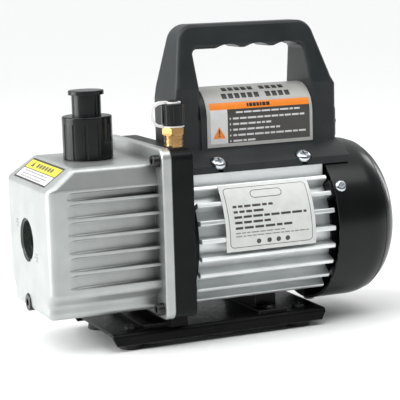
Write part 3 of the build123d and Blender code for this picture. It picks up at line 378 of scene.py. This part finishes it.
slot_of = {part["node"]: part["material_slot"] for part in frame["record"]["subparts"]}
for node_name, slot_name in slot_of.items():
    shown = frame["nodes"][node_name]
    shown.data.materials.clear()
    shown.data.materials.append(SLOT_FINISHES[slot_name])


# ---- mesh pieces -----------------------------------------------------------------------------
def add_piece(name, mesh_maker, material, body="root", smooth=False):
    """Makes a piece from a bmesh that mesh_maker fills, and rides it on a body."""
    mesh = bpy.data.meshes.new(name)
    work = bmesh.new()
    mesh_maker(work)
    bmesh.ops.recalc_face_normals(work, faces=work.faces)
    work.to_mesh(mesh)
    work.free()
    if smooth:
        mesh.shade_smooth()
    piece = bpy.data.objects.new(name, mesh)
    bpy.context.scene.collection.objects.link(piece)
    mesh.materials.append(material)
    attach(piece, body)


def around(count):
    """The angles of this many even steps round a full turn."""
    return [2 * pi * k / count for k in range(count)]


def skin(work, rings, looped=False):
    """Faces between a row of vertex rings. The ends meet if looped, and are closed off if not."""
    following = rings[1:] + rings[:1] if looped else rings[1:]
    for lower, upper in zip(rings, following):
        for k in range(len(lower)):
            n = (k + 1) % len(lower)
            work.faces.new((lower[k], lower[n], upper[n], upper[k]))
    if not looped:
        work.faces.new(rings[0])
        work.faces.new(rings[-1])


def rod_mesh(work, start, end, radius, sides):
    """A closed round bar between two points."""
    axis = (end - start).normalized()
    first = axis.orthogonal().normalized()
    second = axis.cross(first)
    skin(work, [
        [work.verts.new(centre + (first * cos(a) + second * sin(a)) * radius)
         for a in around(sides)]
        for centre in (start, end)])


class Sheet:
    """
    A printed surface. u runs to the right and v upwards, in mm from its lower left corner.
    Level 1 is the layer of print on the sheet itself, and each higher level lies on the one below.
    """

    def __init__(self, node, place, wide, high):
        self.node = node
        self.place = place
        self.wide = wide
        self.high = high

    def strip(self, work, sides, v0, v1, level, step=PATCH_STEP):
        """A thin closed patch whose left and right edges are sides(v)."""
        count = max(1, round((v1 - v0) / step))
        low, top = INK_STEP * (level - INK_LAYERS), INK_STEP * level
        rows = []
        for index in range(count + 1):
            v = v0 + (v1 - v0) * index / count
            left, right = sides(v)
            ring = ((left, low), (right, low), (right, top), (left, top))
            rows.append([work.verts.new(self.place(u, v, h)) for u, h in ring])
        skin(work, rows)

    def bar(self, work, u0, u1, v0, v1, level):
        self.strip(work, lambda v: (u0, u1), v0, v1, level)

    def triangle(self, work, u, v, size, level):
        """A triangle with even sides that stands on the point u, v."""
        height = size * sqrt(3) / 2

        def sides(at):
            half = max(TRIANGLE_TIP, size / 2 * (1 - (at - v) / height))
            return u - half, u + half

        self.strip(work, sides, v, v + height, level, step=height)

    def disc(self, work, u, v, radius, level):
        def sides(at):
            half = sqrt(max(DISC_TIP ** 2, radius ** 2 - (at - v) ** 2))
            return u - half, u + half

        self.strip(work, sides, v - radius, v + radius, level, step=radius / 8)

    def rounded(self, work, inset, radius, level):
        """The whole sheet less an inset, with rounded corners."""
        def sides(at):
            from_end = min(at - inset, self.high - inset - at)
            cut = 0.0
            if from_end < radius:
                cut = radius - sqrt(max(0.0, radius ** 2 - (radius - from_end) ** 2))
            return inset + cut, self.wide - inset - cut

        self.strip(work, sides, inset, self.high - inset, level, step=CORNER_STEP)

    def words(self, work, u0, u1, v, height, level, seed, longest=7.0, gap=0.9):
        """A row of short bars that stands for a line of small print."""
        random = Random(seed)
        u = u0
        while u < u1 - ROW_REST:
            end = min(u1, u + random.uniform(longest * SHORTEST_WORD, longest))
            self.bar(work, u, end, v, v + height, level)
            u = end + gap

    def print(self, name, ink, draw):
        add_piece(f"{self.node}_{name}", draw, INKS[ink])


def largest_face(node):
    """Normal and corner points of a CAD node's largest upward flat face."""
    mesh = frame["nodes"][node].data
    faces_by_normal = {}
    for polygon in mesh.polygons:
        if polygon.normal.z > 0.1:
            key = tuple(round(c, 2) for c in polygon.normal)
            faces_by_normal.setdefault(key, []).append(polygon)
    faces = max(faces_by_normal.values(), key=lambda found: sum(p.area for p in found))
    points = [mesh.vertices[i].co for p in faces for i in p.vertices]
    return faces[0].normal.copy(), points


def front_label():
    """Yellow band over a white field with a dark border, on the tank's front shoulder."""
    normal, points = largest_face("tank_label")
    right = Vector((0, -1, 0))
    up = normal.cross(right)
    corner = min(points, key=lambda p: p.dot(right) + p.dot(up))
    wide = (max(p.dot(right) for p in points) - corner.dot(right)) / MM
    high = (max(p.dot(up) for p in points) - corner.dot(up)) / MM

    def place(u, v, lift):
        return corner + (right * u + up * v + normal * lift) * MM

    sheet = Sheet("tank_label", place, wide, high)
    rim = 1.5
    divide = high * 0.52
    divide_half = 0.35
    row_pitch = 2.4

    def border(work):
        sheet.bar(work, 0, wide, 0, rim, level=1)
        sheet.bar(work, 0, wide, high - rim, high, level=1)
        sheet.bar(work, 0, rim, rim, high - rim, level=1)
        sheet.bar(work, wide - rim, wide, rim, high - rim, level=1)
        sheet.bar(work, rim, wide - rim, divide - divide_half, divide + divide_half, level=1)

    def band(work):
        sheet.bar(work, rim, wide - rim, divide + divide_half, high - rim, level=1)

    def field(work):
        sheet.bar(work, rim, wide - rim, rim, divide - divide_half, level=1)

    def symbol(work):
        block_wide = 4.2
        sheet.triangle(work, 12, divide + 2.0, size=6.0, level=2)
        for u in range(20, 56, 6):
            sheet.bar(work, u, u + block_wide, divide + 2.4, divide + 5.9, level=2)

    def rows(work):
        for row, end in enumerate((52, 60, 56)):
            sheet.words(work, 8, end, row_pitch * (row + 1), height=1.1, level=2, seed=row + 3)

    sheet.print("border", "black", border)
    sheet.print("band", "yellow", band)
    sheet.print("field", "white", field)
    sheet.print("symbol", "charcoal", symbol)
    sheet.print("rows", "grey", rows)


def handle_label():
    """Silver sheet over the barrel, with an orange band above a dark panel and a white one."""
    low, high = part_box("handle_label")
    bend = 20.2                       # radius over the handle's barrel
    past_crest = 5.0                  # flat stretch beyond the top of the barrel
    straight = (high.z - low.z) / MM - bend
    quarter = bend * pi / 2
    centre_y = low.y / MM + bend
    centre_z = high.z / MM - bend

    def place(u, v, lift):
        x = low.x + u * MM
        radius = bend + lift
        if v <= straight:
            return Vector((x, low.y - lift * MM, low.z + v * MM))
        angle = min((v - straight) / bend, pi / 2)
        beyond = max(0.0, v - straight - quarter)
        y = centre_y - radius * cos(angle) + beyond
        return Vector((x, y * MM, (centre_z + radius * sin(angle)) * MM))

    wide = (high.x - low.x) / MM
    sheet = Sheet("handle_label", place, wide, straight + quarter + past_crest)
    left = 2.6
    right = wide - 2.2
    bottom = 2.4
    panel_top = 25.9
    band_high = 5.0
    white_edge = wide * 0.19
    sign_middle = (left + white_edge) / 2

    def title(work):
        pitch, block_wide, block_high, space = 5.0, 3.7, 4.6, 4.0
        for rise, first_word, second_word in ((15.5, 5, 4), (8.0, 6, 4)):
            count = first_word + second_word
            u = (wide - count * pitch - space) / 2
            v = panel_top + rise
            for index in range(count):
                if index == first_word:
                    u += space
                sheet.bar(work, u, u + block_wide, v, v + block_high, level=1)
                u += pitch

    def band(work):
        sheet.bar(work, left, right, panel_top, panel_top + band_high, level=1)

    def field(work):
        sheet.bar(work, left, white_edge, bottom, panel_top, level=1)

    def panel(work):
        sheet.bar(work, white_edge, right, bottom, panel_top, level=1)

    def sign(work):
        sheet.triangle(work, sign_middle, 6.0, size=9.5, level=2)

    def rows(work):
        row_high, row_pitch = 1.3, 3.9
        sheet.words(work, wide * 0.27, wide * 0.88, panel_top - 3.0,
                    height=1.2, level=2, seed=5)
        for row, end in enumerate((0.92, 0.60, 0.70, 0.95, 0.47)):
            v = panel_top - 7.2 - row * row_pitch
            sheet.bar(work, wide * 0.21, wide * 0.22, v, v + row_high, level=2)
            sheet.words(work, wide * 0.24, wide * end, v, row_high, level=2, seed=row + 11)

    def marks(work):
        for foot, head in ((9.0, 12.2), (7.3, 8.2)):
            sheet.bar(work, sign_middle - 0.5, sign_middle + 0.5, foot, head, level=3)
        sheet.words(work, wide * 0.38, wide * 0.60, panel_top + 1.2,
                    height=2.6, level=2, seed=21, longest=3.0, gap=0.5)

    sheet.print("title", "black", title)
    sheet.print("band", "orange", band)
    sheet.print("field", "white", field)
    sheet.print("panel", "charcoal", panel)
    sheet.print("sign", "orange", sign)
    sheet.print("rows", "white", rows)
    sheet.print("marks", "black", marks)


def motor_nameplate():
    """Foil plate over the fins: thin rounded border, a blank badge and rows of small print."""
    low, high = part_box("nameplate")
    radius = -low.y / MM
    bottom_angle = asin((low.z - SHAFT_Z) / MM / radius)
    top_angle = asin((high.z - SHAFT_Z) / MM / radius)

    def place(u, v, lift):
        angle = bottom_angle + v / radius
        reach = (radius + lift) * MM
        return Vector((low.x + u * MM, -reach * cos(angle), SHAFT_Z + reach * sin(angle)))

    tall = (top_angle - bottom_angle) * radius
    sheet = Sheet("nameplate", place, (high.x - low.x) / MM, tall)
    middle = sheet.wide / 2
    row_start = 7

    def border(work):
        sheet.rounded(work, inset=2.6, radius=3.0, level=1)

    def face(work):
        sheet.rounded(work, inset=3.0, radius=2.6, level=2)

    def oblong(work, radius, level):
        """A bar with round ends, in the place of the badge."""
        v = tall - 8.5
        half = 9
        sheet.bar(work, middle - half, middle + half, v - radius, v + radius, level)
        sheet.disc(work, middle - half, v, radius, level)
        sheet.disc(work, middle + half, v, radius, level)

    def rows(work):
        for row, end in enumerate((38, 30, 62, 34, 50)):
            sheet.words(work, row_start, end, tall - 17.5 - row * 3.7,
                        height=1.6, level=3, seed=row + 31, longest=8.0, gap=1.2)
        for beside in (-10, -2, 5, 12):
            sheet.disc(work, middle + beside, 6.0, radius=1.7, level=3)

    def fine_rows(work):
        for row, end in enumerate((44, 64)):
            sheet.words(work, row_start, end, tall - 35.3 - row * 2.2,
                        height=0.8, level=3, seed=row + 41, longest=6.0, gap=0.8)

    sheet.print("border", "black", border)
    sheet.print("face", "foil", face)
    sheet.print("badge", "charcoal", lambda work: oblong(work, radius=3.0, level=3))
    sheet.print("badge_face", "foil", lambda work: oblong(work, radius=2.5, level=4))
    sheet.print("rows", "charcoal", rows)
    sheet.print("fine_rows", "grey", fine_rows)


def oil_level():
    """Oil behind the lower half of the sight glass."""
    low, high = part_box("sight_glass_seal")
    centre = (low + high) / 2
    seal_wide = 3.6 * MM
    radius = (high.z - low.z) / 2 - seal_wide
    front = low.x + 0.1 * MM
    back = high.x + 1.5 * MM
    count = 24

    def draw(work):
        lower_half = [pi + pi * k / count for k in range(count + 1)]
        skin(work, [
            [work.verts.new((x, centre.y + radius * cos(a), centre.z + radius * sin(a)))
             for a in lower_half]
            for x in (front, back)])

    add_piece("oil_level", draw, OIL)


def level_marks():
    """Raised cast marks for the highest and lowest oil level, beside the glass."""
    low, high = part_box("sight_glass_ring")
    centre = (low + high) / 2
    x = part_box("oil_tank")[0].x + 0.05 * MM
    beside = 20.5 * MM
    above = 9.0 * MM
    line_radius = 0.45 * MM
    lines = ((3.2, 0.0), (1.6, 2.2), (1.6, -2.2))     # half length and height of each, mm

    def draw(work):
        for side in (1, -1):
            y = centre.y + side * beside
            for half, lift in lines:
                z = centre.z + side * above + lift * MM
                rod_mesh(work, Vector((x, y - half * MM, z)), Vector((x, y + half * MM, z)),
                         line_radius, sides=12)

    add_piece("level_marks", draw, SLOT_FINISHES["cast_silver"])


def cover_crease():
    """The raised line round the fan cover where its side turns into the rounded back."""
    def draw(work):
        rings = []
        for turn in around(180):
            ring = []
            for lean in around(8):
                reach = (CREASE_R + CREASE_BEAD * cos(lean)) * MM
                ring.append(work.verts.new((
                    (CREASE_X + CREASE_BEAD * sin(lean)) * MM,
                    reach * cos(turn), SHAFT_Z + reach * sin(turn))))
            rings.append(ring)
        skin(work, rings, looped=True)

    add_piece("cover_crease", draw, SLOT_FINISHES["cover_black"], smooth=True)


def switch_marks():
    """The usual on bar and off ring on the two halves of the rocker."""
    rocker = frame["nodes"]["switch_rocker"]
    low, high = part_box("switch_rocker")
    middle = (low + high) / 2
    bar_y = middle.y - 4.2 * MM
    bar_half = 1.6 * MM
    ring_y = middle.y + 4.0 * MM
    ring_radius = 1.4 * MM

    def on_face(y, z):
        """The point of the rocker's outer face at this y and z."""
        start = Vector((high.x + 5 * MM, y, z))
        hit, place, _, _ = rocker.ray_cast(start, Vector((-1, 0, 0)))
        return place if hit else Vector((high.x, y, z))

    def draw(work):
        rod_mesh(work, on_face(bar_y, middle.z - bar_half), on_face(bar_y, middle.z + bar_half),
                 radius=0.3 * MM, sides=12)
        ring = [on_face(ring_y + ring_radius * cos(a), middle.z + ring_radius * sin(a))
                for a in around(16)]
        for start, end in zip(ring, ring[1:] + ring[:1]):
            rod_mesh(work, start, end, radius=0.2 * MM, sides=8)

    add_piece("switch_marks", draw, INKS["white"], body="rocker")


front_label()
handle_label()
motor_nameplate()
oil_level()
level_marks()
cover_crease()
switch_marks()


# ---- camera, light and floor -------------------------------------------------------------------
def add_camera():
    """A camera that looks at the target from an azimuth and an elevation, with a small roll."""
    back = Vector((
        sin(CAMERA_AZIMUTH) * cos(CAMERA_ELEVATION),
        -cos(CAMERA_AZIMUTH) * cos(CAMERA_ELEVATION),
        sin(CAMERA_ELEVATION)))
    level_right = Vector((cos(CAMERA_AZIMUTH), sin(CAMERA_AZIMUTH), 0))
    level_up = back.cross(level_right)
    right = level_right * cos(CAMERA_ROLL) + level_up * sin(CAMERA_ROLL)
    up = back.cross(right)
    data = bpy.data.cameras.new("camera")
    data.lens = CAMERA_LENS
    data.sensor_width = SENSOR_WIDTH
    data.clip_end = CAMERA_REACH
    camera = bpy.data.objects.new("camera", data)
    camera.matrix_world = Matrix.Translation(CAMERA_TARGET + back * CAMERA_DISTANCE) @ Matrix((
        (right.x, up.x, back.x, 0),
        (right.y, up.y, back.y, 0),
        (right.z, up.z, back.z, 0),
        (0, 0, 0, 1)))
    bpy.context.scene.collection.objects.link(camera)
    bpy.context.scene.camera = camera


def add_softbox(name, place, target, wide, tall, watts):
    data = bpy.data.lights.new(name, "AREA")
    data.shape = "RECTANGLE"
    data.size = wide
    data.size_y = tall
    data.energy = watts
    lamp = bpy.data.objects.new(name, data)
    lamp.location = place
    lamp.rotation_euler = (Vector(target) - Vector(place)).to_track_quat("-Z", "Y").to_euler()
    bpy.context.scene.collection.objects.link(lamp)


def add_sun():
    data = bpy.data.lights.new("sun", "SUN")
    data.energy = SUN_STRENGTH
    data.angle = SUN_SOFTNESS
    lamp = bpy.data.objects.new("sun", data)
    lamp.rotation_euler = SUN_TILT
    bpy.context.scene.collection.objects.link(lamp)


def add_sky():
    """Light from above and behind that falls off towards the near side."""
    world = bpy.data.worlds.new("studio")
    bpy.context.scene.world = world
    world.use_nodes = True
    nodes, links = world.node_tree.nodes, world.node_tree.links
    place = nodes.new("ShaderNodeTexCoord")
    toward = nodes.new("ShaderNodeVectorMath")
    toward.operation = "DOT_PRODUCT"
    toward.inputs[1].default_value = SKY_SIDE
    ramp = nodes.new("ShaderNodeValToRGB")
    ramp.color_ramp.elements[0].color = SKY_DARK
    ramp.color_ramp.elements[1].color = SKY_BRIGHT
    ramp.color_ramp.elements[1].position = SKY_BRIGHT_AT
    ramp.color_ramp.elements.new(SKY_MIDDLE_AT).color = SKY_MIDDLE
    links.new(place.outputs["Generated"], toward.inputs[0])
    links.new(toward.outputs["Value"], ramp.inputs["Fac"])
    links.new(ramp.outputs["Color"], nodes["Background"].inputs["Color"])


def add_floor():
    mesh = bpy.data.meshes.new("floor")
    corners = [(x * FLOOR_HALF, y * FLOOR_HALF, 0) for x, y in ((-1, -1), (1, -1), (1, 1), (-1, 1))]
    mesh.from_pydata(corners, [], [(0, 1, 2, 3)])
    mesh.materials.append(plain_finish(
        "floor_paper", dark=(0.88, 0.88, 0.88), light=(0.90, 0.90, 0.90), rough=(0.6, 0.7),
        grain=2.0, depth=0.01, soft=0.0))
    floor = bpy.data.objects.new("floor", mesh)
    bpy.context.scene.collection.objects.link(floor)


bpy.context.scene.view_settings.view_transform = "Standard"
add_camera()
add_sky()
add_sun()
add_softbox("left_box", place=(-1.2, 0.35, 0.40), target=(-0.1, 0, 0.08),
            wide=0.9, tall=0.8, watts=15.0)
add_softbox("top_box", place=(0.15, -0.45, 0.95), target=(0.05, 0, 0.1),
            wide=1.0, tall=0.4, watts=4.5)
add_softbox("right_box", place=(1.0, 0.35, 0.45), target=(0.12, 0, 0.09),
            wide=0.2, tall=0.8, watts=3.0)
add_floor()
